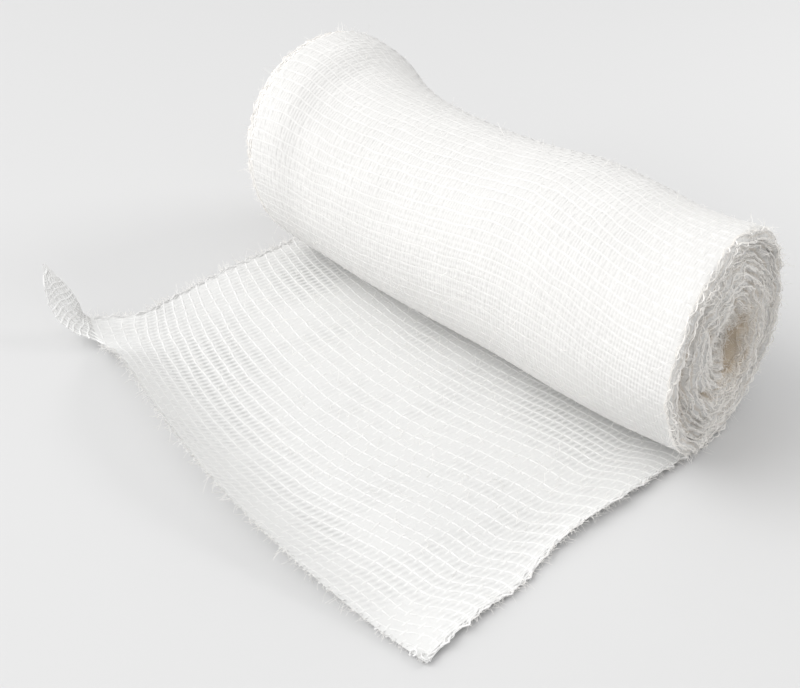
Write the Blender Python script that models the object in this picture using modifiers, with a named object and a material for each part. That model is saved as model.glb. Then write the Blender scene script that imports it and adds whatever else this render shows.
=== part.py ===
"""Gauze bandage roll lying on its own loose end. Metres, +Z up.

The roll's axis runs along X and its open, wound end faces +X. The outer turn leaves the roll underneath, at a
straight lip, and lies on the surface towards -Y as the loose end. Both pieces are soft cloth with no joints.
The origin is the middle of the base of the whole object's box.
"""

import math

import bmesh
import bpy
from mathutils import Vector

MM = 0.001

# Driving sizes, in millimetres.
WIDTH = 100.0  # width of the bandage, selvedge to selvedge
SHEET = 1.0  # thickness of the loose end
GAP = 0.3  # clearance between the two pieces
SINK = 0.6  # how far the round section is flattened where it rests
LIP_Y = -2.0  # where the outer turn leaves the roll, measured from the roll's axis
STEP = SHEET + GAP  # height of the lip, which clears the loose end

# The wound roll: points round a section, and rings along the straight part.
POINTS_ROUND = 56
RINGS_ALONG = 29
LUMP = 0.22  # unevenness of the winding

# One row for each section along the roll, in millimetres.
#  x      half_wide  half_high  shift_y  lean
ROLL_SECTIONS = (
    (-45.0, 21.1, 21.3, 1.9, 0.0),
    (-39.5, 20.8, 20.9, 1.4, 0.0),
    (-34.0, 19.6, 19.6, 0.8, 0.0),
    (-27.0, 18.8, 18.8, 0.1, 0.0),
    (-18.0, 18.5, 18.4, -0.4, 0.0),
    (-8.0, 18.3, 18.2, -0.6, 0.0),
    (4.0, 18.5, 18.4, -0.3, 0.0),
    (16.0, 19.2, 19.2, 0.0, 0.0),
    (28.0, 19.3, 19.3, -0.5, 0.3),
    (38.0, 19.1, 19.1, -0.8, 1.0),
    (45.0, 19.2, 19.4, -0.6, 2.0),
    (49.0, 19.3, 19.8, -0.5, 2.6),
)

# The ends, from the outer edge inwards: share of the section's size, and how far the ring stands out along X.
#  share   out
FAR_END = (
    (0.985, 1.4),
    (0.95, 2.8),
    (0.90, 3.9),
    (0.83, 4.6),
    (0.74, 4.7),
    (0.61, 4.2),
    (0.45, 4.5),
    (0.28, 3.9),
    (0.12, 3.6),
)
NEAR_END = (
    (0.995, 0.8),
    (0.965, 1.4),
    (0.925, 1.5),
    (0.89, 0.8),
    (0.86, -1.0),
    (0.79, -1.6),
    (0.74, -0.6),
    (0.69, 0.9),
    (0.58, 1.6),
    (0.44, 1.5),
    (0.32, 0.9),
    (0.22, -0.4),
    (0.12, -0.9),
)
NEAR_SKEW = 2.6  # how far the near end's rim lies back on its +Y side
SKEW_FROM = 20.0  # the slant of the rings starts here along X
FAR_SLANT = 1.9  # how far the far end's top stands out past its middle
SLANT_FROM = -28.0  # and this slant starts here
LOWER_SWELL = 2.0  # how strongly the lower half answers the lean of the top

# The loose end. One row for each place across its width: the distance along the cloth from the lip to the cut,
# where it starts to rise, over what distance it turns, and the slope that it reaches.
#  x      cut   rise_from  turn  slope
LOOSE_COLUMNS = (
    (-50.0, 53.5, 47.0, 7.0, 14.0),
    (-43.6, 56.8, 46.0, 11.0, 16.0),
    (-36.0, 59.5, 43.0, 15.0, 32.0),
    (-25.0, 64.0, 44.0, 20.0, 46.0),
    (-12.0, 67.0, 47.0, 20.0, 46.0),
    (2.0, 68.5, 50.0, 19.0, 40.0),
    (15.0, 68.5, 53.0, 16.0, 32.0),
    (28.0, 67.7, 55.0, 13.0, 20.0),
    (40.0, 66.8, 57.0, 9.0, 8.0),
    (50.0, 65.8, 59.0, 7.0, 2.0),
)

# The far corner is a narrow ear beyond the cut, turned up and outwards. One row for each fold line across it, from
# the cut to its tip: where its selvedge side and its cut side are, measured from the roll's axis on the surface.
#  edge_x  edge_y  edge_z  cut_x  cut_y  cut_z
EAR_FOLDS = (
    (-53.4, -56.7, 3.3, -48.3, -61.6, 3.4),
    (-53.7, -57.0, 6.0, -51.4, -62.9, 5.2),
    (-54.8, -57.6, 8.4, -54.2, -62.9, 7.7),
    (-56.4, -58.5, 10.6, -55.9, -62.2, 10.6),
    (-58.8, -59.9, 13.2, -58.6, -60.3, 13.3),
)
EAR_WIDTH = 6.4  # how far in from the selvedge the ear begins

# The selvedges. One row for each place along the cloth: how far each edge is drawn in, and how high it stands.
#  along  near_in  near_up  far_in  far_up
SELVEDGES = (
    (0.0, 0.0, 0.0, 0.6, 0.0),
    (6.0, 0.3, 0.0, 0.8, 0.0),
    (13.0, 0.7, 1.2, 0.9, 0.2),
    (21.0, 1.1, 2.3, 0.7, 0.4),
    (30.0, 2.0, 2.2, 0.6, 0.0),
    (38.0, 1.9, 0.9, 1.4, 0.3),
    (45.0, 0.7, 0.2, 2.0, 0.7),
    (53.5, 1.0, 1.0, -3.0, 0.6),
    (60.0, 0.9, 1.0, -4.0, 0.2),
    (66.0, 0.2, 0.2, -4.0, 0.0),
)
EDGE_BAND = 13.0  # how far in from a selvedge its rise and its flare reach
EAR_COLUMNS = 5
COLUMNS = 32
ROWS = 26

CLOTH_COLOUR = (0.93, 0.92, 0.90, 1.0)
CLOTH_ROUGHNESS = 0.9


def clear_scene():
    for obj in list(bpy.data.objects):
        bpy.data.objects.remove(obj, do_unlink=True)


def smooth(t):
    """0 below 0, 1 above 1, and an even S between."""
    t = min(max(t, 0.0), 1.0)
    return t * t * (3.0 - 2.0 * t)


def table_at(rows, key):
    """The columns of a table after its first, at a place between its rows, on a smooth curve through them."""
    places = [row[0] for row in rows]
    key = min(max(key, places[0]), places[-1])
    i = 0
    while i < len(rows) - 2 and key > places[i + 1]:
        i += 1
    before, here = rows[max(i - 1, 0)], rows[i]
    there, after = rows[i + 1], rows[min(i + 2, len(rows) - 1)]
    span = there[0] - here[0]
    t = (key - here[0]) / span
    found = []
    for c in range(1, len(here)):
        rise_in = (there[c] - before[c]) / (there[0] - before[0]) * span
        rise_out = (after[c] - here[c]) / (after[0] - here[0]) * span
        found.append(
            here[c] * (1 + 2 * t) * (1 - t) ** 2
            + rise_in * t * (1 - t) ** 2
            + there[c] * t * t * (3 - 2 * t)
            + rise_out * t * t * (t - 1)
        )
    return found


def roll_ring(x, share, out):
    """One closed section of the roll, from the lip round by the back and over the top to the lip again.

    The section winds inwards by the height of the lip in its one turn. It is flat where it rests: on the
    surface behind the lip, and on the loose end in front of it.
    """
    half_wide, half_high, shift_y, lean = table_at(ROLL_SECTIONS, x)
    centre_z = half_high + STEP - SINK
    lip_angle = math.asin((LIP_Y - shift_y) / half_wide)
    skew = NEAR_SKEW * smooth((x - SKEW_FROM) / (ROLL_SECTIONS[-1][0] - SKEW_FROM))
    top_out = FAR_SLANT * smooth((SLANT_FROM - x) / (SLANT_FROM - ROLL_SECTIONS[0][0]))
    points = []
    for k in range(POINTS_ROUND):
        turn = k / (POINTS_ROUND - 1)
        angle = lip_angle + math.tau * turn
        lump = LUMP * math.sin(3 * angle + x / 9) * math.sin(angle / 2) ** 2
        grow = STEP * (1 - turn) + lump
        y = shift_y + (half_wide + grow) * math.sin(angle)
        z = centre_z - (half_high + grow) * math.cos(angle)
        z = max(z, 0.0 if turn < 0.5 else STEP)
        if k in (0, POINTS_ROUND - 1):
            y = LIP_Y
        y = shift_y + share * (y - shift_y)
        z = centre_z + share * (z - centre_z)
        height = (z - centre_z) / half_high
        slant = skew * (y - shift_y) / half_wide + top_out * height
        if k not in (0, POINTS_ROUND - 1):
            # The top leans one way and the lower half swells the other; the very bottom stays where it rests.
            y -= lean * (height if height > 0 else LOWER_SWELL * height * (1 - height**2))
        points.append(Vector((x + out - slant, y, z)) * MM)
    return points


def roll_rings():
    first, last = ROLL_SECTIONS[0][0], ROLL_SECTIONS[-1][0]
    rings = [roll_ring(first, share, -out) for share, out in reversed(FAR_END)]
    for i in range(RINGS_ALONG):
        rings.append(roll_ring(first + (last - first) * i / (RINGS_ALONG - 1), 1.0, 0.0))
    rings += [roll_ring(last, share, out) for share, out in NEAR_END]
    return rings


def make_roll():
    """The wound form: a loft through its sections, closed at each end by a fan on the innermost ring."""
    mesh = bmesh.new()
    rings = [[mesh.verts.new(point) for point in ring] for ring in roll_rings()]
    for ring, after in zip(rings, rings[1:]):
        for k in range(POINTS_ROUND):
            n = (k + 1) % POINTS_ROUND
            mesh.faces.new((ring[k], ring[n], after[n], after[k]))
    for ring, turned in ((rings[0], True), (rings[-1], False)):
        middle = mesh.verts.new(sum((v.co for v in ring), Vector()) / POINTS_ROUND)
        for k in range(POINTS_ROUND):
            n = (k + 1) % POINTS_ROUND
            side = (ring[n], ring[k]) if turned else (ring[k], ring[n])
            mesh.faces.new((*side, middle))
    bmesh.ops.recalc_face_normals(mesh, faces=mesh.faces)
    return mesh


def loose_point(x, along):
    """The middle of the cloth at a place across its width and a distance along it from the lip."""
    _, rise_from, turn, slope = table_at(LOOSE_COLUMNS, x)
    steps = max(int(along), 1)
    y, z = LIP_Y - GAP, SHEET / 2
    for i in range(steps):
        heading = math.radians(slope) * smooth(((i + 0.5) * along / steps - rise_from) / turn)
        y -= math.cos(heading) * along / steps
        z += math.sin(heading) * along / steps
    near_in, near_up, far_in, far_up = table_at(SELVEDGES, along)
    half = WIDTH / 2
    near_band = max(0.0, 1 - (half - x) / EDGE_BAND) ** 2
    far_band = max(0.0, 1 - (half + x) / EDGE_BAND) ** 2
    across = x - near_in * near_band + far_in * far_band
    return Vector((across, y, z + max(near_up, 0.0) * near_band + max(far_up, 0.0) * far_band)) * MM


def ear_point(share, fold):
    """The middle of the cloth on one fold line of the ear, at a share of the way in from the selvedge."""
    edge, cut = Vector(EAR_FOLDS[fold][:3]), Vector(EAR_FOLDS[fold][3:])
    return edge.lerp(cut, share) * MM


def loose_places():
    """Places across the width, closer together where the ear begins."""
    half = WIDTH / 2
    ear = [-half + EAR_WIDTH * i / (EAR_COLUMNS - 1) for i in range(EAR_COLUMNS)]
    count = COLUMNS - EAR_COLUMNS
    return ear + [ear[-1] + (WIDTH - EAR_WIDTH) * (i + 1) / count for i in range(count)]


def make_loose_end():
    """The loose end as an open sheet at the middle of its thickness."""
    mesh = bmesh.new()
    columns = []
    for i, x in enumerate(loose_places()):
        cut = table_at(LOOSE_COLUMNS, x)[0]
        column = [mesh.verts.new(loose_point(x, cut * j / ROWS)) for j in range(ROWS + 1)]
        if i < EAR_COLUMNS:
            share = i / (EAR_COLUMNS - 1)
            column += [mesh.verts.new(ear_point(share, fold)) for fold in range(len(EAR_FOLDS))]
        columns.append(column)
    for column, after in zip(columns, columns[1:]):
        for j in range(min(len(column), len(after)) - 1):
            mesh.faces.new((column[j], after[j], after[j + 1], column[j + 1]))
    bmesh.ops.recalc_face_normals(mesh, faces=mesh.faces)
    return mesh


def cloth_material(name):
    material = bpy.data.materials.new(name)
    material.use_nodes = True
    shader = material.node_tree.nodes["Principled BSDF"]
    shader.inputs["Base Color"].default_value = CLOTH_COLOUR
    shader.inputs["Roughness"].default_value = CLOTH_ROUGHNESS
    shader.inputs["Metallic"].default_value = 0.0
    return material


def add_piece(name, mesh, collection):
    data = bpy.data.meshes.new(name)
    mesh.to_mesh(data)
    mesh.free()
    data.shade_smooth()
    data.materials.append(cloth_material(f"{name}_gauze"))
    piece = bpy.data.objects.new(name, data)
    collection.objects.link(piece)
    return piece


def centre_on_base(pieces):
    """Moves the meshes so that the origin is the middle of the whole object's base."""
    bpy.context.view_layer.update()
    graph = bpy.context.evaluated_depsgraph_get()
    corners = [Vector(corner) for piece in pieces for corner in piece.evaluated_get(graph).bound_box]
    low = Vector(min(corner[i] for corner in corners) for i in range(3))
    high = Vector(max(corner[i] for corner in corners) for i in range(3))
    for piece in pieces:
        for vertex in piece.data.vertices:
            vertex.co -= Vector(((low.x + high.x) / 2, (low.y + high.y) / 2, 0.0))


def main():
    clear_scene()
    collection = bpy.data.collections.new("gauze_bandage_roll")
    bpy.context.scene.collection.children.link(collection)
    roll = add_piece("roll", make_roll(), collection)
    loose_end = add_piece("loose_end", make_loose_end(), collection)
    thicken = loose_end.modifiers.new("Thickness", "SOLIDIFY")
    thicken.thickness = SHEET * MM
    thicken.offset = 0.0
    centre_on_base([roll, loose_end])


main()
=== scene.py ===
"""Looks of the gauze bandage roll: its weave, yarn by yarn, its wound ends and its fuzz.

Lengths are in millimetres, from the point on the surface under the middle of the roll's axis, as in the
CAD source, until place() turns them into metres in the frame. x runs across the bandage, and along runs
from the roll to the cut.
"""

import math

import bpy
import numpy as np
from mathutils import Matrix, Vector


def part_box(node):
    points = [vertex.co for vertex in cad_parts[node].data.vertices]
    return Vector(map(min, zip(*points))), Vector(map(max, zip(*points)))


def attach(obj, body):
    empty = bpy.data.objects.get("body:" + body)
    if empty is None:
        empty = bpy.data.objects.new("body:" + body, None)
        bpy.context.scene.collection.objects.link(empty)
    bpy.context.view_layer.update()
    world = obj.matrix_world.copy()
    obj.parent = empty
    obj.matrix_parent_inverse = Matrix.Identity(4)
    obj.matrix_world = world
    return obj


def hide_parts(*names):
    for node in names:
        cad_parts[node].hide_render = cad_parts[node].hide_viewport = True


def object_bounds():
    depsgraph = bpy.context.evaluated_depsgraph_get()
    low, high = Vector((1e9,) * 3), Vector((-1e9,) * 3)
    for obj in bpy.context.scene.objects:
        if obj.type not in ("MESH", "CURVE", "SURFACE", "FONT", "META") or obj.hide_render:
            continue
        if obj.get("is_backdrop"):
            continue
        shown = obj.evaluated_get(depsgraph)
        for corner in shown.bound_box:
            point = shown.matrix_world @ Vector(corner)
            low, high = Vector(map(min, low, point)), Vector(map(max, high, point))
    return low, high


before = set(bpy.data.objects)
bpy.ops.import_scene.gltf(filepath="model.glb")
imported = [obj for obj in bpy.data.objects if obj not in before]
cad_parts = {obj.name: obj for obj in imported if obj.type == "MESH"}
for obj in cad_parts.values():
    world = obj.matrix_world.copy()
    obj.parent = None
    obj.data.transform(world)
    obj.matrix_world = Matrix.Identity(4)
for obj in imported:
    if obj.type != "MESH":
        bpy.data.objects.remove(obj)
CAD_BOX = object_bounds()

MM = 0.001
WIDTH = 100.0
HALF = WIDTH / 2
SHEET = 1.0
GAP = 0.3
SINK = 0.6
LIP_Y = -2.0
STEP = SHEET + GAP
LUMP = 0.22
FLOOR_GAP = 0.03  # nothing goes lower than this
FELTED = 0.03  # the wound body comes this much nearer its yarns by the open end
ROUND = 126.0  # length of the outer turn

# The CAD source's tables, which the yarns follow.
#  x      half_wide  half_high  shift_y  lean
ROLL_SECTIONS = (
    (-45.0, 21.1, 21.3, 1.9, 0.0),
    (-39.5, 20.8, 20.9, 1.4, 0.0),
    (-34.0, 19.6, 19.6, 0.8, 0.0),
    (-27.0, 18.8, 18.8, 0.1, 0.0),
    (-18.0, 18.5, 18.4, -0.4, 0.0),
    (-8.0, 18.3, 18.2, -0.6, 0.0),
    (4.0, 18.5, 18.4, -0.3, 0.0),
    (16.0, 19.2, 19.2, 0.0, 0.0),
    (28.0, 19.3, 19.3, -0.5, 0.3),
    (38.0, 19.1, 19.1, -0.8, 1.0),
    (45.0, 19.2, 19.4, -0.6, 2.0),
    (49.0, 19.3, 19.8, -0.5, 2.6),
)
#  inset   share   out
FAR_END = (
    (0.0, 1.0, 0.0),
    (1.4, 0.985, 1.4),
    (3.0, 0.95, 2.8),
    (4.6, 0.90, 3.9),
    (6.2, 0.83, 4.6),
    (8.1, 0.74, 4.7),
    (10.9, 0.61, 4.2),
    (14.3, 0.45, 4.5),
    (17.9, 0.28, 3.9),
    (21.3, 0.12, 3.6),
    (23.8, 0.0, 3.6),
)
NEAR_END = (
    (0.0, 1.0, 0.0),
    (0.8, 0.995, 0.8),
    (1.6, 0.965, 1.4),
    (2.4, 0.925, 1.5),
    (3.3, 0.89, 0.8),
    (5.2, 0.86, -1.0),
    (6.6, 0.79, -1.6),
    (8.0, 0.74, -0.6),
    (9.8, 0.69, 0.9),
    (12.0, 0.58, 1.6),
    (14.7, 0.44, 1.5),
    (17.1, 0.32, 0.9),
    (19.3, 0.22, -0.4),
    (21.3, 0.12, -0.9),
    (23.6, 0.0, -0.9),
)
NEAR_SKEW = 2.6
SKEW_FROM = 20.0
FAR_SLANT = 1.9
SLANT_FROM = -28.0
LOWER_SWELL = 2.0
#  x      cut   rise_from  turn  slope
LOOSE_COLUMNS = (
    (-50.0, 53.5, 47.0, 7.0, 14.0),
    (-43.6, 56.8, 46.0, 11.0, 16.0),
    (-36.0, 59.5, 43.0, 15.0, 32.0),
    (-25.0, 64.0, 44.0, 20.0, 46.0),
    (-12.0, 67.0, 47.0, 20.0, 46.0),
    (2.0, 68.5, 50.0, 19.0, 40.0),
    (15.0, 68.5, 53.0, 16.0, 32.0),
    (28.0, 67.7, 55.0, 13.0, 20.0),
    (40.0, 66.8, 57.0, 9.0, 8.0),
    (50.0, 65.8, 59.0, 7.0, 2.0),
)
#  edge_x  edge_y  edge_z  cut_x  cut_y  cut_z
EAR_FOLDS = (
    (-53.4, -56.7, 3.3, -48.3, -61.6, 3.4),
    (-53.7, -57.0, 6.0, -51.4, -62.9, 5.2),
    (-54.8, -57.6, 8.4, -54.2, -62.9, 7.7),
    (-56.4, -58.5, 10.6, -55.9, -62.2, 10.6),
    (-58.8, -59.9, 13.2, -58.6, -60.3, 13.3),
)
EAR_WIDTH = 6.4
#  along  near_in  near_up  far_in  far_up
SELVEDGES = (
    (0.0, 0.0, 0.0, 0.6, 0.0),
    (6.0, 0.3, 0.0, 0.8, 0.0),
    (13.0, 0.7, 1.2, 0.9, 0.2),
    (21.0, 1.1, 2.3, 0.7, 0.4),
    (30.0, 2.0, 2.2, 0.6, 0.0),
    (38.0, 1.9, 0.9, 1.4, 0.3),
    (45.0, 0.7, 0.2, 2.0, 0.7),
    (53.5, 1.0, 1.0, -3.0, 0.6),
    (60.0, 0.9, 1.0, -4.0, 0.2),
    (66.0, 0.2, 0.2, -4.0, 0.0),
)
EAR_FACING = np.array([0.55, -0.6, 0.58])
EDGE_BAND = 13.0
LOOSE_STEPS = 160  # steps in which the loose end's curve is summed
NEAR_LIE = 0.45  # how much of the near selvedge's rise the thin cloth keeps

# The weave. Wefts run across the bandage and warps along it.
WARP_PITCH = 1.08
EDGE_WARPS = 3  # extra warps close together at each selvedge
EDGE_PITCH = 0.5
EDGE_IN = 0.35  # the outermost warp lies this far in from the selvedge
CUT_MARGIN = 0.6  # the last weft stays this far from the cut
#  along  pitch
WEFT_PITCH = (
    (0.0, 1.9),
    (13.0, 2.0),
    (19.0, 2.5),
    (27.0, 3.15),
    (37.0, 2.9),
    (44.0, 2.55),
    (52.0, 2.3),
    (70.0, 2.1),
)
ROLL_WEFT_PITCH = 1.95
EAR_WEFT_PITCH = 0.38  # in folds of the ear
# Half width, half thickness and crimp of the yarns.
WEFT_WIDE, WEFT_THICK, WEFT_CRIMP = 0.18, 0.065, 0.06
WARP_WIDE, WARP_THICK, WARP_CRIMP = 0.17, 0.05, 0.055
OVER_MORE = 0.5  # a weft lies over for more of its length than under
GROUND_LIFT = 0.03  # the ground of fine fibres above the middle of the yarns
ROLL_FLAT = 0.6  # how much flatter the weave lies on the roll
STRAND = 0.08  # half thickness of a selvedge strand
HAIR = 0.022  # half thickness of a stray fibre
ROLL_HAIRS, EDGE_HAIRS, CUT_HAIRS, CLOTH_HAIRS = 700, 700, 350, 800
#  side  on the face  on the rim
END_HAIRS = (
    (1, 1900, 700),
    (-1, 350, 350),
)

END_TURNS = 15  # turns that show as ridges on an end
END_DEPTH = 23.6  # way in over an end, from its shoulder to its middle
RIDGE = 0.65  # height of a turn's ridge
FAR_RINGS, NEAR_RINGS, AROUND = 78, 88, 420  # points of the wound body's mesh
# Gaps between the turns of the open end, at places on its face.
#  y      z     heading  long  wide  depth
GROOVES = (
    (4.6, 17.6, 72.0, 3.4, 1.4, 1.9),
    (1.2, 13.2, 12.0, 3.4, 0.9, 1.4),
    (6.4, 21.0, 115.0, 2.6, 0.8, 1.0),
    (0.6, 27.4, -50.0, 3.4, 0.6, 1.1),
    (-8.2, 26.2, -66.0, 3.2, 0.8, 0.9),
    (-6.6, 14.4, -38.0, 3.6, 0.8, 1.1),
    (-3.4, 21.6, -52.0, 1.5, 0.4, 0.6),
    (7.5, 13.0, 60.0, 3.0, 0.8, 0.7),
)

# The recessed ring of the open end is only open about one place round it, and filled elsewhere.
RING_AT, RING_TURN, RING_FILL = 6.2, 0.72, 2.3

FLOOR_COLOUR = (0.63, 0.63, 0.63)
# Painted shade: the roll's cotton and yarns are a darker copy of the loose end's cotton, holding down
# the strong light on the roll.
ROLL_PAINTED_SHADE_COLOUR = (0.73, 0.723, 0.709)
ROLL_WEFT_PAINTED_SHADE_COLOUR = (0.775, 0.768, 0.755)
ROLL_WARP_PAINTED_SHADE_COLOUR = (0.74, 0.733, 0.72)
# Painted light: the fibres of the wound ends and the stray fibres are a lighter copy of the same
# cotton, lifting the shade that lies on the ends.
END_PAINTED_LIGHT_COLOUR = (0.93, 0.91, 0.88)
WEFT_COLOUR = (0.825, 0.823, 0.815)
WARP_COLOUR = (0.81, 0.808, 0.798)
HAZE_COLOUR = (0.785, 0.785, 0.775)
# Painted shade: the warm dark colour that the wound ends darken towards between their ridges, in their
# gaps and in their recessed ring.
PAINTED_SHADE_COLOUR = (0.62, 0.53, 0.42)
HAZE_THIN, HAZE_DENSE = 0.54, 0.93  # how much the ground of fine fibres hides
# Noise scales, and heights of relief in metres.
YARN_FIBRES, WOUND_FIBRES, HAZE_FIBRES = 6000.0, 2500.0, 5000.0
YARN_RELIEF, WOUND_RELIEF, WEAVE_RELIEF = 0.00004, 0.00008, 0.00003
# Where the loose end's weave is open: middle x, middle along, reach in x, reach along, how open.
OPEN_ZONES = (
    (-28.0, 43.0, 14.0, 9.0, 0.95),
    (-12.0, 52.0, 16.0, 5.0, 0.65),
    (-38.0, 14.0, 9.0, 9.0, 0.9),
    (30.0, 12.0, 20.0, 8.0, 0.55),
    (18.0, 58.0, 18.0, 3.5, 0.5),
    (42.0, 40.0, 7.0, 14.0, 0.4),
)

# The light: the tent's brightness towards and away from TENT_TOWARDS, and soft lamps.
TENT_TOWARDS = (-0.35, -0.72, 0.6)
TENT_DIM, TENT_BRIGHT = 0.12, 1.05
#  name   at   aimed_at   size   power
LIGHTS = (
    ("key", (-440, -630, 690), (0, -20, 10), (0.9, 0.9), 7.2),
    ("back", (160, 300, 260), (0, -30, 5), (0.16, 0.16), 0.5),
)

CAMERA_AT = (123.8, -146.3, 133.1)
CAMERA_TO = (8.0, -32.1, 15.0)
LENS = 54.0
FLOOR_HALF = 6.0  # metres


# Frame, tables and surfaces


# From the CAD source's origin to the frame's.
LOOSE_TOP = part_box("loose_end")[1]
SHIFT = np.array([LOOSE_TOP.x / MM - HALF, LOOSE_TOP.y / MM - LIP_Y + GAP, 0.0])


def place(points):
    """Metres in the frame."""
    return (np.asarray(points) + SHIFT) * MM


def smooth(t):
    t = np.clip(t, 0.0, 1.0)
    return t * t * (3.0 - 2.0 * t)


def table_at(rows, key):
    """The columns of a table after its first, read on a smooth curve through its rows."""
    rows = np.array(rows)
    key = np.clip(key, rows[0, 0], rows[-1, 0])
    i = np.clip(np.searchsorted(rows[:, 0], key) - 1, 0, len(rows) - 2)
    before, here = rows[np.maximum(i - 1, 0)], rows[i]
    there, after = rows[i + 1], rows[np.minimum(i + 2, len(rows) - 1)]
    span = there[..., :1] - here[..., :1]
    t = (key[..., None] - here[..., :1]) / span
    rise_in = (there - before) / (there[..., :1] - before[..., :1]) * span
    rise_out = (after - here) / (after[..., :1] - here[..., :1]) * span
    found = (
        here * (1 + 2 * t) * (1 - t) ** 2
        + rise_in * t * (1 - t) ** 2
        + there * t * t * (3 - 2 * t)
        + rise_out * t * t * (t - 1)
    )
    return np.moveaxis(found[..., 1:], -1, 0)


def roll_at(x, turn, lift=0.0):
    """A point of the roll's surface. Past the last section, x goes in over the end."""
    x, turn = np.broadcast_arrays(np.asarray(x, float), np.asarray(turn, float))
    first, last = ROLL_SECTIONS[0][0], ROLL_SECTIONS[-1][0]
    along_x = np.clip(x, first, last)
    half_wide, half_high, shift_y, lean = table_at(ROLL_SECTIONS, along_x)
    far_share, far_out = table_at(FAR_END, np.maximum(first - x, 0.0))
    near_share, near_out = table_at(NEAR_END, np.maximum(x - last, 0.0))
    share = np.clip(far_share * near_share, 0.0, 1.0)
    out = near_out - far_out
    centre_z = half_high + STEP - SINK
    lip_angle = np.arcsin((LIP_Y - shift_y) / half_wide)
    skew = NEAR_SKEW * smooth((along_x - SKEW_FROM) / (last - SKEW_FROM))
    top_out = FAR_SLANT * smooth((SLANT_FROM - along_x) / (SLANT_FROM - first))
    angle = lip_angle + math.tau * turn
    lump = LUMP * np.sin(3 * angle + along_x / 9) * np.sin(angle / 2) ** 2
    grow = STEP * (1 - turn) + lump + lift
    y = shift_y + (half_wide + grow) * np.sin(angle)
    z = centre_z - (half_high + grow) * np.cos(angle)
    z = np.maximum(z, np.where(turn < 0.5, 0.0, STEP) + lift)
    y = shift_y + share * (y - shift_y)
    z = centre_z + share * (z - centre_z)
    height = (z - centre_z) / half_high
    slant = skew * (y - shift_y) / half_wide + top_out * height
    y = y - lean * np.where(height > 0, height, LOWER_SWELL * height * (1 - height**2))
    return np.stack([along_x + out - slant, y, z], -1)


def roll_facing(x, turn):
    """Which way the roll's surface faces, outwards."""
    across = roll_at(x + 0.3, turn) - roll_at(x - 0.3, turn)
    onward = roll_at(x, turn + 0.002) - roll_at(x, turn - 0.002)
    return unit(np.cross(onward, across))


def loose_at(x, along, lift=0.0):
    """A point of the loose end at a place across its width and a distance along it from the lip."""
    x, along = np.broadcast_arrays(np.asarray(x, float), np.asarray(along, float))
    _, rise_from, turn, slope = table_at(LOOSE_COLUMNS, x)
    y = np.full(x.shape, LIP_Y - GAP)
    z = np.full(x.shape, SHEET / 2)
    for i in range(LOOSE_STEPS):
        so_far = (i + 0.5) * along / LOOSE_STEPS
        heading = np.radians(slope) * smooth((so_far - rise_from) / turn)
        y = y - np.cos(heading) * along / LOOSE_STEPS
        z = z + np.sin(heading) * along / LOOSE_STEPS
    near_in, near_up, far_in, far_up = table_at(SELVEDGES, along)
    near_band = np.maximum(0, 1 - (HALF - x) / EDGE_BAND) ** 2
    far_band = np.maximum(0, 1 - (HALF + x) / EDGE_BAND) ** 2
    z = z + NEAR_LIE * np.maximum(near_up, 0) * near_band
    z = z + np.maximum(far_up, 0) * far_band + lift
    return np.stack([x - near_in * near_band + far_in * far_band, y, z], -1)


def loose_facing(x, along):
    """Which way the loose end faces, upwards."""
    step = 0.4
    across = loose_at(x + step, along) - loose_at(x - step, along)
    onward = loose_at(x, along + step) - loose_at(x, along - step)
    return unit(np.cross(onward, across))


def cut_at(x):
    return table_at(LOOSE_COLUMNS, np.asarray(x, float))[0]


def ear_at(share, fold, lift=0.0):
    """A point of the ear, at a share of the way in from the selvedge.

    Fold 0 is at the cut, and the last fold at the ear's tip.
    """
    share, fold = np.broadcast_arrays(np.asarray(share, float), np.asarray(fold, float))
    x = -HALF + EAR_WIDTH * share
    lines = [loose_at(x, cut_at(x))]
    for row in np.array(EAR_FOLDS):
        lines.append(row[:3] + share[..., None] * (row[3:] - row[:3]))
    lines = np.stack(lines)
    low = np.clip(fold.astype(int), 0, len(lines) - 2)
    part = (fold - low)[..., None]
    index = np.indices(share.shape)
    here = lines[(low, *index)]
    there = lines[(low + 1, *index)]
    lift = np.broadcast_to(np.asarray(lift, float), share.shape)[..., None]
    return here + part * (there - here) + lift * EAR_FACING


# Building meshes


def unit(v):
    return v / np.maximum(np.linalg.norm(v, axis=-1, keepdims=True), 1e-9)


def dice(seed):
    return np.random.default_rng(seed)


def wave(at, length, amount, roll, terms=3):
    """A smooth wandering curve for each row of at, made of a few sines of about this length."""
    at = np.asarray(at, float)
    rows = at.shape[:-1] + (1,)
    found = np.zeros(at.shape)
    for _ in range(terms):
        own = length * roll.uniform(0.6, 1.7, rows)
        found += np.sin(math.tau * (at / own + roll.uniform(0, 1, rows)))
    return amount * found / math.sqrt(terms)


def ripple(u, v, length, amount, roll, terms=7):
    """Smooth unevenness over a surface, made of plane waves of about this length in all directions."""
    found = np.zeros(np.broadcast(u, v).shape)
    for _ in range(terms):
        heading = roll.uniform(0, math.tau)
        own = length * roll.uniform(0.7, 1.5)
        onward = u * math.cos(heading) + v * math.sin(heading)
        found += np.sin(math.tau * onward / own + roll.uniform(0, 9))
    return amount * found / math.sqrt(terms)


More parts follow.
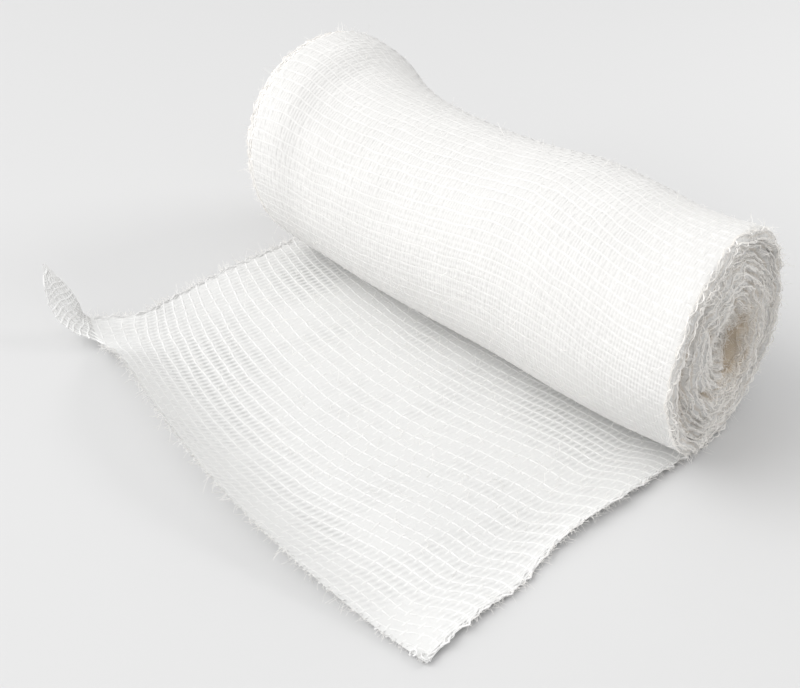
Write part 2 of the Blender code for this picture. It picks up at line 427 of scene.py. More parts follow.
class Faces:
    """Points in millimetres and faces gathered for one piece, with one shade value for each point:
    painted shade on the wound ends and their strands, and how open the weave is on the loose end's
    ground.
    """

    def __init__(self):
        self.points = []
        self.faces = []
        self.shades = []
        self.count = 0

    def add(self, points, faces, shade=0.0):
        points = np.asarray(points).reshape(-1, 3)
        self.points.append(points)
        self.shades.append(np.broadcast_to(np.asarray(shade, float).reshape(-1), len(points)))
        self.faces += [face + self.count for face in faces]
        self.count += len(points)

    def grid(self, points, shade=0.0, closed=False):
        """Rows of points, each joined to the next."""
        rows, columns = points.shape[:2]
        index = np.arange(rows * columns).reshape(rows, columns)
        if closed:
            index = np.concatenate([index, index[:, :1]], axis=1)
        corners = (index[:-1, :-1], index[:-1, 1:], index[1:, 1:], index[1:, :-1])
        self.add(points, [np.stack(corners, -1).reshape(-1, 4)], shade)

    def tubes(self, lines, normals, wide, thick, sides, shade=0.0):
        """Yarns of an oval section along lines of points, each line closed at both ends."""
        count, length, _ = lines.shape
        forward = unit(np.gradient(lines, axis=1))
        across = unit(np.cross(forward, normals))
        up = np.cross(across, forward)
        wide = np.broadcast_to(wide, (count, length))[:, :, None, None]
        thick = np.broadcast_to(thick, (count, length))[:, :, None, None]
        angle = math.tau * np.arange(sides) / sides
        ring = np.cos(angle)[:, None] * across[:, :, None] * wide
        ring = ring + np.sin(angle)[:, None] * up[:, :, None] * thick
        points = lines[:, :, None] + ring
        index = np.arange(points.size // 3).reshape(count, length, sides)
        after = np.roll(index, -1, axis=2)
        around = np.stack([index[:, :-1], index[:, 1:], after[:, 1:], after[:, :-1]], -1)
        shades = np.broadcast_to(np.asarray(shade, float), (count, length))
        faces = [around.reshape(-1, 4), index[:, 0], index[:, -1, ::-1]]
        self.add(points, faces, np.repeat(shades.reshape(-1), sides))

    def piece(self, name, material, replaces=(), smooth_faces=False, more=()):
        """Makes the object. more holds further attributes, each a label and a value for each point."""
        points = np.concatenate(self.points)
        points[:, 2] = np.maximum(points[:, 2], FLOOR_GAP)
        points = place(points)
        corners = np.concatenate([face.reshape(-1) for face in self.faces])
        sizes = np.concatenate([np.full(len(face), face.shape[1]) for face in self.faces])
        mesh = bpy.data.meshes.new(name)
        mesh.vertices.add(len(points))
        mesh.vertices.foreach_set("co", points.astype(np.float32).ravel())
        mesh.loops.add(len(corners))
        mesh.loops.foreach_set("vertex_index", corners.astype(np.int32))
        mesh.polygons.add(len(sizes))
        mesh.polygons.foreach_set("loop_start", (np.cumsum(sizes) - sizes).astype(np.int32))
        # The shade values go into one attribute: painted shade on the wound ends, and openness on the
        # loose end's ground.
        for label, values in (("painted_shade_and_openness", np.concatenate(self.shades)), *more):
            attribute = mesh.attributes.new(label, "FLOAT", "POINT")
            attribute.data.foreach_set("value", values.astype(np.float32).ravel())
        mesh.update(calc_edges=True)
        if smooth_faces:
            mesh.shade_smooth()
        else:
            mesh.shade_flat()
        mesh.materials.append(material)
        obj = bpy.data.objects.new(name, mesh)
        bpy.context.scene.collection.objects.link(obj)
        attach(obj, "root")
        if replaces:
            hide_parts(*replaces)
        return obj


# Weave


def weft_middles():
    """Where each weft crosses the middle of the loose end. Past the cut, only its sides are left."""
    rows = np.array(WEFT_PITCH)
    places, along = [], 0.9
    while along < 78.0:
        places.append(along)
        along += np.interp(along, rows[:, 0], rows[:, 1])
    return np.array(places)


def bow(x, along):
    """How far a weft lags behind its middle, towards the roll, at a place across the loose end."""
    left = (8.0 + 7.0 * smooth(along / 60)) * np.clip(-(x - 2) / 52, 0, 1) ** 1.8
    right = (1.6 + 2.4 * smooth((along - 8) / 20)) * smooth((x - 9) / 28)
    at_edge = 3.4 * smooth((x - 40) / 8.5)
    return left + (right + at_edge)


def weft_along(x, middle):
    """How far along the weft lies at x that crosses the middle here."""
    return middle - bow(x, middle) * smooth((middle + 2.0) / 9.0)


def warp_places():
    edge = EDGE_PITCH * np.arange(EDGE_WARPS)
    inner = HALF - EDGE_IN - EDGE_PITCH * EDGE_WARPS
    count = int(2 * inner / WARP_PITCH) + 1
    middle = np.linspace(-inner, inner, count)
    return np.concatenate([-HALF + EDGE_IN + edge, middle, (HALF - EDGE_IN - edge)[::-1]])


WARPS = warp_places()
WEFTS = weft_middles()


def over(index, other):
    """1 where a yarn passes over, -1 where it passes under."""
    return np.cos(math.pi * (index + other))


def runs(keep, least=4):
    """The stretches of neighbouring points that are kept."""
    edges = np.flatnonzero(np.diff(np.concatenate([[0], keep.astype(int), [0]])))
    return [(a, b) for a, b in edges.reshape(-1, 2) if b - a >= least]


def lay_yarn(faces, x, along, lift, wide, thick, sides):
    """Yarns on the loose end, one for each row of places."""
    facing = loose_facing(x, along)
    faces.tubes(loose_at(x, along) + lift[..., None] * facing, facing, wide, thick, sides)


def add_ear_wefts(faces):
    for fold in np.arange(0.4, 4.9, EAR_WEFT_PITCH):
        share = np.linspace(0.02, min(1.0, 1.6 - 0.16 * fold), 18)
        lift = 0.10 + WEFT_CRIMP * over(share * 6, fold / EAR_WEFT_PITCH)
        line = ear_at(share, fold + 0.07 * np.sin(share * 9 + fold), lift)[None]
        faces.tubes(line, np.broadcast_to(EAR_FACING, line.shape), WEFT_WIDE, WEFT_THICK, 6)


def make_loose_wefts(material):
    roll = dice(11)
    faces = Faces()
    x = np.linspace(-HALF + 0.1, HALF - 0.1, 186)
    crossing = np.interp(x, WARPS, np.arange(len(WARPS)))
    for i, middle in enumerate(WEFTS):
        along = weft_along(x, middle) + wave(x, 22, 0.16, roll) + wave(x, 6, 0.06, roll)
        lift = WEFT_CRIMP * (over(crossing, i) + OVER_MORE)
        swell = 1 + wave(x, 4, 0.13, roll)
        swell *= 1 - 0.25 * smooth((along - cut_at(x) + 12) / 6)
        for a, b in runs(along < cut_at(x) - CUT_MARGIN):
            part = slice(a, b)
            at = np.maximum(along[part], 0.2)[None]
            wide, thick = WEFT_WIDE * swell[part], WEFT_THICK * swell[part]
            lay_yarn(faces, x[None, part], at, lift[None, part], wide, thick, 6)
    add_ear_wefts(faces)
    return faces.piece("loose_wefts", material)


def make_loose_warps(material):
    roll = dice(12)
    faces = Faces()
    in_ear = WARPS < -HALF + EAR_WIDTH
    left = smooth(-WARPS / 25) * smooth((WARPS + 49) / 7)
    frayed = smooth((10 - WARPS) / 20)
    end = cut_at(WARPS) + np.where(in_ear, 0.0, roll.uniform(-0.4, 0.5, len(WARPS)) + 0.9 * frayed)
    part = np.linspace(0, 1, 132)[None]
    along = part * end[:, None]
    x = WARPS[:, None] + wave(along, 14, 0.10, roll)
    x = x + 0.30 * left[:, None] * np.maximum(along - 51, 0) ** 1.15
    x += wave(along, 4, 0.12, roll) * smooth((along - end[:, None] + 8) / 6)
    x = np.clip(x, -HALF, HALF)
    count = np.arange(len(WEFTS))
    crossing = np.stack([np.interp(a, weft_along(w, WEFTS), count) for w, a in zip(WARPS, along)])
    lift = -WARP_CRIMP * (over(crossing, np.arange(len(WARPS))[:, None]) + OVER_MORE)
    along = np.minimum(along, cut_at(x) + 1.4)
    inner = ~in_ear
    lay_yarn(faces, x[inner], along[inner], lift[inner], WARP_WIDE, WARP_THICK, 5)
    for j in np.flatnonzero(in_ear):
        share = (WARPS[j] + HALF) / EAR_WIDTH
        fold = np.linspace(0.1, 5 - 0.5 * share, 40)
        raised = ear_at(share, fold, WARP_CRIMP * np.cos(fold * 6))
        line = np.concatenate([loose_at(x[j], along[j], lift[j]), raised])[None]
        faces.tubes(line, np.broadcast_to([0.2, -0.4, 0.9], line.shape), WARP_WIDE, WARP_THICK, 5)
    return faces.piece("loose_warps", material)


def edge_strand(faces, side, inset, roll):
    """A fine strand that wanders along a selvedge."""
    limit = float(cut_at(side * HALF)) - 0.5
    along = np.linspace(3.0, limit, 210)[None]
    x = side * (HALF - inset) + wave(along, 3.0, 0.20, roll)
    lay_yarn(faces, x, along, 0.05 + wave(along, 2.6, 0.12, roll), 0.10, 0.09, 4)


def edge_loops(faces, side, first, roll):
    """Each weft turns back at a selvedge into the next one."""
    at = weft_along(side * (HALF - 0.2), WEFTS)
    at = at[(at > 2.0) & (at < float(cut_at(side * HALF)) - 1.0)]
    t = np.linspace(0, 1, 9)
    for before, after in zip(at[first::2], at[first + 1 :: 2]):
        bulge = roll.uniform(0.35, 0.95)
        along = before + (after - before) * (t + 0.12 * np.sin(math.tau * t))
        x = side * (HALF - 0.25 + bulge * np.sin(math.pi * t))
        lift = roll.uniform(0.0, 0.35) * np.sin(math.pi * t) + 0.05
        lay_yarn(faces, x[None], along[None], lift[None], 0.17, 0.12, 5)


def make_loose_edges(material):
    """The turned-back wefts, the wandering strands of both selvedges and the frayed cut."""
    roll = dice(13)
    faces = Faces()
    for side, first in ((1, 0), (-1, 1)):
        edge_loops(faces, side, first, roll)
        for inset in (0.05, 0.3, 0.6):
            edge_strand(faces, side, inset, roll)
    t = np.linspace(0, 1, 6)
    for x in WARPS[WARPS > -HALF + EAR_WIDTH]:
        for _ in range(4):
            length = roll.uniform(0.3, 1.1) + 0.7 * float(smooth((10 - x) / 20))
            lean = roll.normal(0.1, 0.35)
            along = cut_at(x) - 0.7 + length * t
            path = x + lean * length * t + 0.1 * np.sin(t * roll.uniform(2, 6))
            facing = loose_facing(path, along)
            drop = roll.uniform(-0.3, 0.3) * t[:, None]
            line = (loose_at(path, along) + drop * facing)[None]
            faces.tubes(line, facing[None], 0.07 * (1 - 0.6 * t), 0.05, 4)
    for line in curl_lines(roll):
        faces.tubes(line[None], np.broadcast_to([0.0, 0.1, 1.0], line[None].shape), 0.12, 0.10, 5)
    return faces.piece("loose_edges", material)


def curl_lines(roll):
    """Small loose loops of yarn at the front corner."""
    t = np.linspace(0, 1, 26)
    for start_x, start_along, size in ((49.2, 65.3, 0.8), (47.6, 66.0, 0.6)):
        turn = math.tau * 0.8 * t + roll.uniform(0, 6)
        x = start_x + size * np.cos(turn) * (1 - 0.3 * t)
        along = start_along + size * 0.8 * np.sin(turn) * (1 - 0.3 * t)
        yield loose_at(x, along, 0.1 + 0.5 * np.sin(math.pi * t))


def openness(x, along):
    """How open the weave is at a place on the loose end, from 0 to 1."""
    found = 0.04 + 0.1 * smooth((along - cut_at(x) + 14) / 6)
    found = found + ripple(x, along, 16, 0.14, dice(14)) + ripple(x, along, 5, 0.08, dice(15))
    for at_x, at_along, reach_x, reach_along, most in OPEN_ZONES:
        away = ((x - at_x) / reach_x) ** 2 + ((along - at_along) / reach_along) ** 2
        found = found + most * np.exp(-away)
    return np.clip(found, 0, 1)


def with_middles(places):
    """These places and the middles between them."""
    return np.interp(np.arange(0, len(places) - 0.9, 0.5), np.arange(len(places)), places)


def make_loose_cloth(material):
    """The ground of fine fibres between the yarns: one sheet over the loose end and its ear.

    Its grid has a point on every yarn and in the middle of every mesh, where it is thin.
    """
    faces = Faces()
    x = np.concatenate([[-HALF], with_middles(WARPS), [HALF]])
    middle = np.concatenate([[-6.0, -3.0], with_middles(WEFTS)])[:, None]
    along = np.clip(weft_along(x, middle), 0.0, cut_at(x))
    between_warps = np.sin(math.pi * np.arange(-1, len(x) - 1) / 2) ** 2
    between_wefts = np.sin(math.pi * np.arange(len(middle)) / 2)[:, None] ** 2
    thin = between_warps * between_wefts * openness(x, along)
    ground = loose_at(x + 0 * along, along, GROUND_LIFT)
    faces.grid(ground[::-1], thin[::-1])
    has_length = (along[:-1] < along[1:] - 1e-6)[::-1]
    kept = has_length[:, :-1] | has_length[:, 1:]
    faces.faces[0] = faces.faces[0][kept.reshape(-1)]
    share = np.linspace(0, 1, 13)[None]
    fold = np.linspace(0, 5, 31)[:, None]
    faces.grid(ear_at(share + 0 * fold, fold + 0 * share)[::-1], 1.2)
    return faces.piece("loose_cloth", material, ["loose_end"], smooth_faces=True)


def roll_bow(x, arc):
    """How far a weft of the outer turn lags behind its middle."""
    centre = 2 + 18 * smooth((arc - 72) / 26)
    left = 9.0 * np.clip((centre - x) / (centre + 50), 0, 1) ** 1.6
    right = 3.6 * smooth((x - centre - 6) / (50 - centre))
    return left + right


def wind_yarn(faces, x, turn, lift, wide, thick, sides):
    """Yarns on the roll, one for each row of places."""
    facing = roll_facing(x, turn)
    faces.tubes(roll_at(x, turn) + lift[..., None] * facing, facing, wide, thick, sides)


def make_roll_wefts(material):
    roll = dice(21)
    faces = Faces()
    middles = np.arange(-6.0, ROUND + 1, ROLL_WEFT_PITCH)[:, None]
    reach = roll.uniform(98.0, 99.6, middles.shape)
    x = -48.4 + np.linspace(0, 1, 190)[None] * reach
    arc = middles + roll_bow(x, middles) + wave(x, 24, 0.22, roll) + wave(x, 7, 0.10, roll)
    arc = np.clip(arc, 0.3, ROUND - 0.3)
    above = over((x + HALF) / WARP_PITCH, np.arange(len(middles))[:, None]) + OVER_MORE
    lift = ROLL_FLAT * WEFT_CRIMP * above
    swell = 1 + wave(x, 5, 0.14, roll)
    wide, thick = WEFT_WIDE * swell, ROLL_FLAT * WEFT_THICK * swell
    wind_yarn(faces, x, arc / ROUND, lift, wide, thick, 5)
    return faces.piece("roll_wefts", material)


def make_roll_warps(material):
    roll = dice(22)
    faces = Faces()
    start = np.arange(-47.6, 50.6, WARP_PITCH)[:, None]
    arc = np.linspace(0.2, ROUND - 0.2, 196)[None]
    x = start + wave(arc + 0 * start, 30, 0.16, roll)
    crossing = (arc - roll_bow(x, arc)) / ROLL_WEFT_PITCH
    lift = -ROLL_FLAT * WARP_CRIMP * over(crossing, np.arange(len(start))[:, None])
    wind_yarn(faces, x, arc / ROUND, lift, 1.3 * WARP_WIDE, ROLL_FLAT * WARP_THICK, 4)
    return faces.piece("roll_warps", material)


# The wound ends


def end_edge(side):
    return ROLL_SECTIONS[-1][0] if side > 0 else ROLL_SECTIONS[0][0]


def end_seed(side):
    return 31 if side > 0 else 41


def base_lift(x):
    return FELTED * smooth((x - 36) / 9)


def turn_wobble(points, seed):
    """How far a turn strays from a true spiral."""
    y, z = points[..., 1], points[..., 2]
    return ripple(y, z, 13, 0.35, dice(seed)) + ripple(y, z, 5, 0.15, dice(seed + 1))


def groove_depth(points):
    """How far down the gaps of the open end go. The same depth also sets the painted shade in them."""
    depth = np.zeros(points.shape[:-1])
    for y, z, heading, long, wide, most in GROOVES:
        turn = math.radians(heading)
        off_y, off_z = points[..., 1] - y, points[..., 2] - z
        onward = off_y * math.cos(turn) + off_z * math.sin(turn)
        across = off_z * math.cos(turn) - off_y * math.sin(turn)
        depth += most * np.exp(-((onward / long) ** 2) - (across / wide) ** 2)
    return depth


def end_at(side, inset, around, lift=0.0):
    """A point of a wound end with its ridges, and the painted shade for it, darker down between the
    ridges and, on the open end, in the open part of the recessed ring, in the gaps and in a patch round
    the largest gap.
    """
    seed = end_seed(side)
    edge = end_edge(side)
    points = roll_at(edge + side * inset, around, base_lift(edge))
    y, z = points[..., 1], points[..., 2]
    wound = inset / END_DEPTH * END_TURNS + around + turn_wobble(points, seed)
    crest = (0.5 + 0.5 * np.cos(math.tau * wound)) ** 0.7
    reach = smooth((inset - 1.0) / 2.0) * (0.65 + ripple(y, z, 7, 0.35, dice(seed + 2)))
    inside = smooth(inset / 4)
    push = RIDGE * reach * (crest - 0.7) + inside * ripple(y, z, 3.1, 0.22, dice(seed + 3))
    push += inside * ripple(y, z, 1.4, 0.10, dice(seed + 4), terms=11)
    # Painted shade down between the ridges.
    painted_shade_and_openness = 0.5 * smooth((0.5 - crest) / 0.5) * smooth(inset / 3)
    if side > 0:
        gap = groove_depth(points)
        ring = np.exp(-(((inset - RING_AT) / 2.0) ** 2))
        open_here = np.exp(-(((around - RING_TURN) / 0.10) ** 2))
        push += RING_FILL * ring * (1 - open_here) - gap
        # Painted shade in the open part of the recessed ring, in the gaps, and in a patch round the
        # largest gap.
        painted_shade_and_openness = painted_shade_and_openness + 0.6 * ring * open_here
        painted_cavity_shade = np.exp(-(((y - 5.0) / 5.0) ** 2) - ((z - 18.0) / 8.0) ** 2)
        painted_shade_and_openness = painted_shade_and_openness + 0.7 * smooth(gap / 1.3) + 0.45 * painted_cavity_shade
    points[..., 0] += side * (push + lift)
    return points, np.clip(painted_shade_and_openness, 0, 1)

def make_roll_cloth(material):
    """The wound body under the yarns, with a ridge on both ends for each turn that shows."""
    faces = Faces()
    around = np.linspace(0, 1, AROUND + 1)[None, :-1]
    first, last = end_edge(-1), end_edge(1)
    far, far_painted_shade = end_at(-1, np.linspace(23.5, 0.4, FAR_RINGS)[:, None], around)
    straight = np.concatenate([np.linspace(first, -26, 28), np.linspace(-24, last, 30)])
    body = roll_at(straight[:, None], around, base_lift(straight[:, None]))
    near, near_painted_shade = end_at(1, np.linspace(0.4, 23.3, NEAR_RINGS)[:, None], around)
    # Painted shade on both ends, none on the body.
    painted_shade_and_openness = np.concatenate([far_painted_shade, np.zeros(body.shape[:-1]), near_painted_shade])
    faces.grid(np.concatenate([far, body, near]), painted_shade_and_openness, closed=True)
    x = np.concatenate([np.full(FAR_RINGS, first), straight, np.full(NEAR_RINGS, last)])[:, None]
    arc = ROUND * around - roll_bow(x, ROUND * around)
    more = (("across", x + 0 * around), ("arc", arc))
    return faces.piece("roll_cloth", material, ["roll"], smooth_faces=True, more=more)


def spiral_inset(side, turn, around):
    """How far in over an end a turn's edge lies, all the way round."""
    edge = end_edge(side)
    pitch = END_DEPTH / END_TURNS
    inset = (turn - around) * pitch
    for _ in range(3):
        points = roll_at(edge + side * np.clip(inset, 0.2, END_DEPTH - 0.2), around)
        inset = (turn - around - turn_wobble(points, end_seed(side))) * pitch
    return np.clip(inset, 0.6, END_DEPTH - 0.3)


def wandering_strand(faces, side, turn, round_here, roll):
    """One strand along a turn's edge, all the way round."""
    around = np.linspace(0, 1, max(24, int(2.6 * round_here)))
    inset = spiral_inset(side, turn, around) + wave(around * round_here, 5.5, 0.22, roll)
    lift = 0.12 + wave(around * round_here, 2.2, 0.20, roll)
    line, painted_shade_and_openness = end_at(side, np.clip(inset, 0.5, END_DEPTH - 0.3), around, lift)
    normals = np.broadcast_to([float(side), 0.0, 0.0], line[None].shape)
    # The strand takes the painted shade of the place on the end where it lies.
    faces.tubes(line[None], normals, STRAND, STRAND, 3, painted_shade_and_openness[None])


def end_loops(faces, side, turn, round_here, roll):
    """Wefts that turn back in small loops along a turn's edge."""
    loops = int(round_here / 1.9)
    t = np.linspace(0, 1, 7)[None]
    start = ((np.arange(loops) + roll.uniform(0, 0.8, loops)) / loops)[:, None]
    at = start + (0.75 + roll.uniform(-0.2, 0.4, (loops, 1))) * t / loops
    at = np.clip(at, 0, 1)
    arch = np.sin(math.pi * t)
    inset = spiral_inset(side, turn, at) + roll.normal(0, 0.35, (loops, 1)) * arch
    lift = 0.1 + roll.uniform(0.1, 0.75, (loops, 1)) * arch
    line, painted_shade_and_openness = end_at(side, np.clip(inset, 0.5, END_DEPTH - 0.3), at, lift)
    # The loops take part of the painted shade of the place where they lie.
    faces.tubes(line, np.broadcast_to([0.0, 0.3, 1.0], line.shape), 0.10, 0.08, 3, 0.6 * painted_shade_and_openness)


def make_end_strands(material):
    """The edges of the turns on both ends."""
    roll = dice(51)
    faces = Faces()
    for side, strands in ((1, 3), (-1, 2)):
        for turn in range(1, END_TURNS + 1):
            round_here = 115 * (1.02 - turn / (END_TURNS + 1))
            for _ in range(strands):
                wandering_strand(faces, side, turn, round_here, roll)
            end_loops(faces, side, turn, round_here, roll)
    return faces.piece("end_strands", material)


# Stray fibres


def hairs(faces, roots, heading, length, curl, roll):
    """Fine curved fibres from these roots."""
    count = len(roots)
    t = np.linspace(0, 1, 5)[None, :, None]
    heading = unit(heading + roll.normal(0, 0.45, (count, 3)))[:, None]
    bend = roll.normal(0, curl, (count, 1, 3))
    own = (length * roll.uniform(0.4, 1.3, count))[:, None, None]
    lines = roots[:, None] + own * (heading * t + bend * t * t)
    faces.tubes(lines, np.broadcast_to([0.31, 0.52, 0.79], lines.shape), HAIR, HAIR, 3)


def end_hairs(faces, side, count, rim, roll):
    """Fibres all over a wound end, and fibres round its rim."""
    inset = np.concatenate([roll.uniform(3, 22, count), roll.uniform(0.4, 3, rim)])
    around = roll.uniform(0.03, 1, count + rim)
    roots, _ = end_at(side, inset, around)
    middle = np.array([0.0, roots[:, 1].mean(), roots[:, 2].mean()])
    radial = unit((roots - middle) * [0, 1, 1])
    heading = np.array([side * 0.8, 0, 0]) + radial * np.where(inset < 3, 0.9, 0.1)[:, None]
    hairs(faces, roots, heading, 0.8, 0.9, roll)


def roll_hairs(faces, roll):
    x = roll.uniform(-46, 50, ROLL_HAIRS)
    turn = roll.uniform(0.12, 0.97, ROLL_HAIRS)
    roots = roll_at(x, turn)
    hairs(faces, roots, unit(roots - roll_at(x, turn, -1.0)), 0.8, 0.6, roll)


def selvedge_hairs(faces, roll):
    side = np.where(np.arange(EDGE_HAIRS) % 2 == 0, 1.0, -1.0)
    along = roll.uniform(4, 58, EDGE_HAIRS)
    roots = loose_at(side * HALF, along, 0.1)
    hairs(faces, roots, np.stack([side, 0 * side, 0.5 + 0 * side], -1), 0.9, 0.6, roll)


def cut_hairs(faces, roll):
    x = roll.uniform(-43, HALF, CUT_HAIRS)
    roots = loose_at(x, cut_at(x), 0.1)
    hairs(faces, roots, np.broadcast_to([0.1, -1.0, 0.2], roots.shape), 1.2, 0.5, roll)


def cloth_hairs(faces, roll):
    """Fibres that lie about on the loose end."""
    x = roll.uniform(-48, 48, CLOTH_HAIRS)
    along = roll.uniform(5, 52, CLOTH_HAIRS)
    roots = loose_at(x, along, 0.1)
    heading_x = roll.normal(0, 1, CLOTH_HAIRS)
    heading_y = roll.normal(0, 1, CLOTH_HAIRS)
    hairs(faces, roots, np.stack([heading_x, heading_y, 0.25 + 0 * x], -1), 1.2, 0.5, roll)


def make_stray_fibres(material):
    roll = dice(61)
    faces = Faces()
    for side, count, rim in END_HAIRS:
        end_hairs(faces, side, count, rim, roll)
    roll_hairs(faces, roll)
    selvedge_hairs(faces, roll)
    cut_hairs(faces, roll)
    cloth_hairs(faces, roll)
    return faces.piece("stray_fibres", material)


# Materials


def new_material(name):
    material = bpy.data.materials.new(name)
    material.use_nodes = True
    tree = material.node_tree
    shader = tree.nodes["Principled BSDF"]
    shader.inputs["Metallic"].default_value = 0.0
    return material, tree, shader


def node(tree, kind, **values):
    made = tree.nodes.new(kind)
    for name, value in values.items():
        if name in made.inputs:
            made.inputs[name].default_value = value
        else:
            setattr(made, name, value)
    return made


def map_range(tree, value, start, end):
    """A value's range turned into another: start and end each hold a value and its result."""
    spread = node(tree, "ShaderNodeMapRange")
    names = ("From Min", "To Min", "From Max", "To Max")
    for name, number in zip(names, (*start, *end)):
        spread.inputs[name].default_value = number
    tree.links.new(value, spread.inputs["Value"])
    return spread.outputs["Result"]


def fibre_shader(name, bump_scale, bump_depth):
    """A matte shader with a fine fibre bump, and the places that its textures go by."""
    material, tree, shader = new_material(name)
    shader.inputs["Roughness"].default_value = 0.92
    shader.inputs["Specular IOR Level"].default_value = 0.2
    shader.inputs["Sheen Weight"].default_value = 0.2
    shader.inputs["Sheen Roughness"].default_value = 0.5
    places = node(tree, "ShaderNodeTexCoord").outputs["Object"]
    fibres = node(tree, "ShaderNodeTexNoise", Scale=bump_scale, Detail=4.0)
    tree.links.new(places, fibres.inputs["Vector"])
    bump = node(tree, "ShaderNodeBump", Strength=0.5, Distance=bump_depth)
    tree.links.new(fibres.outputs["Fac"], bump.inputs["Height"])
    tree.links.new(bump.outputs["Normal"], shader.inputs["Normal"])
    return material, tree, shader, places


def cotton(name, colour, bump_scale=YARN_FIBRES, bump_depth=YARN_RELIEF):
    """Cotton whose colour wanders a little, and darkens to a warm painted shade where the shade value
    says so.
    """
    material, tree, shader, places = fibre_shader(name, bump_scale, bump_depth)
    link = tree.links.new
    drift = node(tree, "ShaderNodeTexNoise", Scale=140.0, Detail=3.0)
    link(places, drift.inputs["Vector"])
    tone = node(tree, "ShaderNodeValToRGB")
    tone.color_ramp.elements[0].position = 0.3
    tone.color_ramp.elements[0].color = (*[c * 0.965 for c in colour], 1)
    tone.color_ramp.elements[1].position = 0.7
    tone.color_ramp.elements[1].color = (*colour, 1)
    link(drift.outputs["Fac"], tone.inputs["Fac"])
    # Painted shade: where the shade value is high, the colour darkens towards the warm painted-shade
    # colour.
    shade = node(tree, "ShaderNodeAttribute", attribute_name="painted_shade_and_openness")
    mix = node(tree, "ShaderNodeMix", data_type="RGBA")
    mix.inputs["B"].default_value = (*PAINTED_SHADE_COLOUR, 1)
    link(shade.outputs["Fac"], mix.inputs["Factor"])
    link(tone.outputs["Color"], mix.inputs["A"])
    link(mix.outputs["Result"], shader.inputs["Base Color"])
    return material


def wound_cotton_painted_shade():
    """The wound body, a darker painted-shade copy of the cotton that also takes the painted shade of
    the ends: the weave of the turns under the outer one shows through as a fine relief.
    """
    material = cotton("wound_cotton_painted_shade", ROLL_PAINTED_SHADE_COLOUR, WOUND_FIBRES, WOUND_RELIEF)
    tree = material.node_tree
    link = tree.links.new
    both = node(tree, "ShaderNodeMath", operation="ADD")
    for i, (label, pitch) in enumerate((("across", WARP_PITCH / 2), ("arc", ROLL_WEFT_PITCH / 2))):
        place_in = node(tree, "ShaderNodeAttribute", attribute_name=label)
        turn = node(tree, "ShaderNodeMath", operation="MULTIPLY")
        turn.inputs[1].default_value = math.tau / pitch
        rise = node(tree, "ShaderNodeMath", operation="SINE")
        link(place_in.outputs["Fac"], turn.inputs[0])
        link(turn.outputs["Value"], rise.inputs[0])
        link(rise.outputs["Value"], both.inputs[i])
    weave = node(tree, "ShaderNodeBump", Strength=1.0, Distance=WEAVE_RELIEF)
    link(both.outputs["Value"], weave.inputs["Height"])
    fibres = tree.nodes["Principled BSDF"].inputs["Normal"].links[0].from_node
    link(weave.outputs["Normal"], fibres.inputs["Normal"])
    return material


def haze_cotton():
    """The ground of fine fibres: it hides less where the shade value says that the weave is open."""
    material, tree, shader, places = fibre_shader("cotton_haze", HAZE_FIBRES, YARN_RELIEF)
    shader.inputs["Base Color"].default_value = (*HAZE_COLOUR, 1)
    # Here the shade value says how open the weave is; it paints no shade.
    shade = node(tree, "ShaderNodeAttribute", attribute_name="painted_shade_and_openness")
    pinholes = node(tree, "ShaderNodeTexNoise", Scale=1900.0, Detail=2.0)
    tree.links.new(places, pinholes.inputs["Vector"])
    both = node(tree, "ShaderNodeMath", operation="MULTIPLY_ADD")
    both.inputs[1].default_value = 0.3
    tree.links.new(pinholes.outputs["Fac"], both.inputs[0])
    tree.links.new(shade.outputs["Fac"], both.inputs[2])
    alpha = map_range(tree, both.outputs["Value"], (0.15, HAZE_DENSE), (1.1, HAZE_THIN))
    tree.links.new(alpha, shader.inputs["Alpha"])
    return material


# Stage


def add_floor():
    mesh = bpy.data.meshes.new("floor")
    corners = [(FLOOR_HALF * x, FLOOR_HALF * y, 0) for x, y in ((-1, -1), (1, -1), (1, 1), (-1, 1))]
    mesh.from_pydata(corners, [], [(0, 1, 2, 3)])
    floor = bpy.data.objects.new("floor", mesh)
    bpy.context.scene.collection.objects.link(floor)
    material, _, shader = new_material("pale_table")
    shader.inputs["Base Color"].default_value = (*FLOOR_COLOUR, 1)
    shader.inputs["Roughness"].default_value = 0.7
    mesh.materials.append(material)
    floor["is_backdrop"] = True


def look_at(obj, target):
    heading = Vector(target) - obj.location
    obj.rotation_mode = "QUATERNION"
    obj.rotation_quaternion = heading.to_track_quat("-Z", "Y")


def add_light(name, at, to, size, power):
    data = bpy.data.lights.new(name, "AREA")
    data.shape = "RECTANGLE"
    data.size, data.size_y = size
    data.energy = power
    light = bpy.data.objects.new(name, data)
    light.location = Vector(place(at))
    bpy.context.scene.collection.objects.link(light)
    look_at(light, place(to))


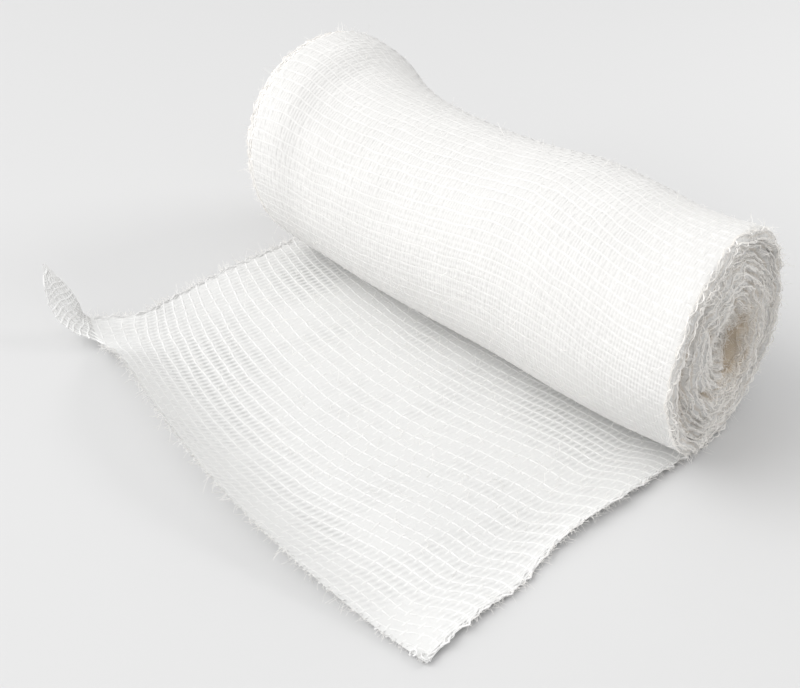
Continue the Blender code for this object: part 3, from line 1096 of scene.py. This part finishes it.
def add_world():
    """A soft tent of light, bright in front of the roll and above it, and dim behind it and below."""
    world = bpy.data.worlds.new("soft_tent")
    world.use_nodes = True
    tree = world.node_tree
    places = node(tree, "ShaderNodeTexCoord")
    facing = node(tree, "ShaderNodeVectorMath", operation="DOT_PRODUCT")
    facing.inputs[1].default_value = Vector(TENT_TOWARDS).normalized()
    tree.links.new(places.outputs["Generated"], facing.inputs[0])
    strength = map_range(tree, facing.outputs["Value"], (-1.0, TENT_DIM), (1.0, TENT_BRIGHT))
    tree.links.new(strength, tree.nodes["Background"].inputs["Strength"])
    tree.nodes["Background"].inputs["Color"].default_value = (1.0, 1.0, 1.0, 1)
    bpy.context.scene.world = world


def add_camera():
    data = bpy.data.cameras.new("camera")
    data.lens = LENS
    data.sensor_width = 36.0
    camera = bpy.data.objects.new("camera", data)
    camera.location = Vector(place(CAMERA_AT))
    bpy.context.scene.collection.objects.link(camera)
    look_at(camera, place(CAMERA_TO))
    bpy.context.scene.camera = camera


def write_sizes():
    boxes = {"cad": CAD_BOX, "visual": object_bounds()}
    plain = {name: [[round(v, 5) for v in corner] for corner in box] for name, box in boxes.items()}


def main():
    bpy.context.scene.view_settings.view_transform = "Standard"
    add_camera()
    add_floor()
    add_world()
    for light in LIGHTS:
        add_light(*light)
    weft_yarn = cotton("cotton_weft", WEFT_COLOUR)
    warp_yarn = cotton("cotton_warp", WARP_COLOUR)
    # A lighter copy of the cotton, painted light for the shaded wound ends.
    end_yarn_painted_light = cotton("end_fibres_painted_light", END_PAINTED_LIGHT_COLOUR)
    # The roll's pieces take the darker painted-shade copies of the cotton.
    make_roll_cloth(wound_cotton_painted_shade())
    make_roll_wefts(cotton("roll_weft_painted_shade", ROLL_WEFT_PAINTED_SHADE_COLOUR))
    make_roll_warps(cotton("roll_warp_painted_shade", ROLL_WARP_PAINTED_SHADE_COLOUR))
    make_end_strands(end_yarn_painted_light)
    make_stray_fibres(end_yarn_painted_light)
    cloth = make_loose_cloth(haze_cotton())
    yarns = [make_loose_wefts(weft_yarn), make_loose_warps(warp_yarn), make_loose_edges(weft_yarn)]
    write_sizes()


main()
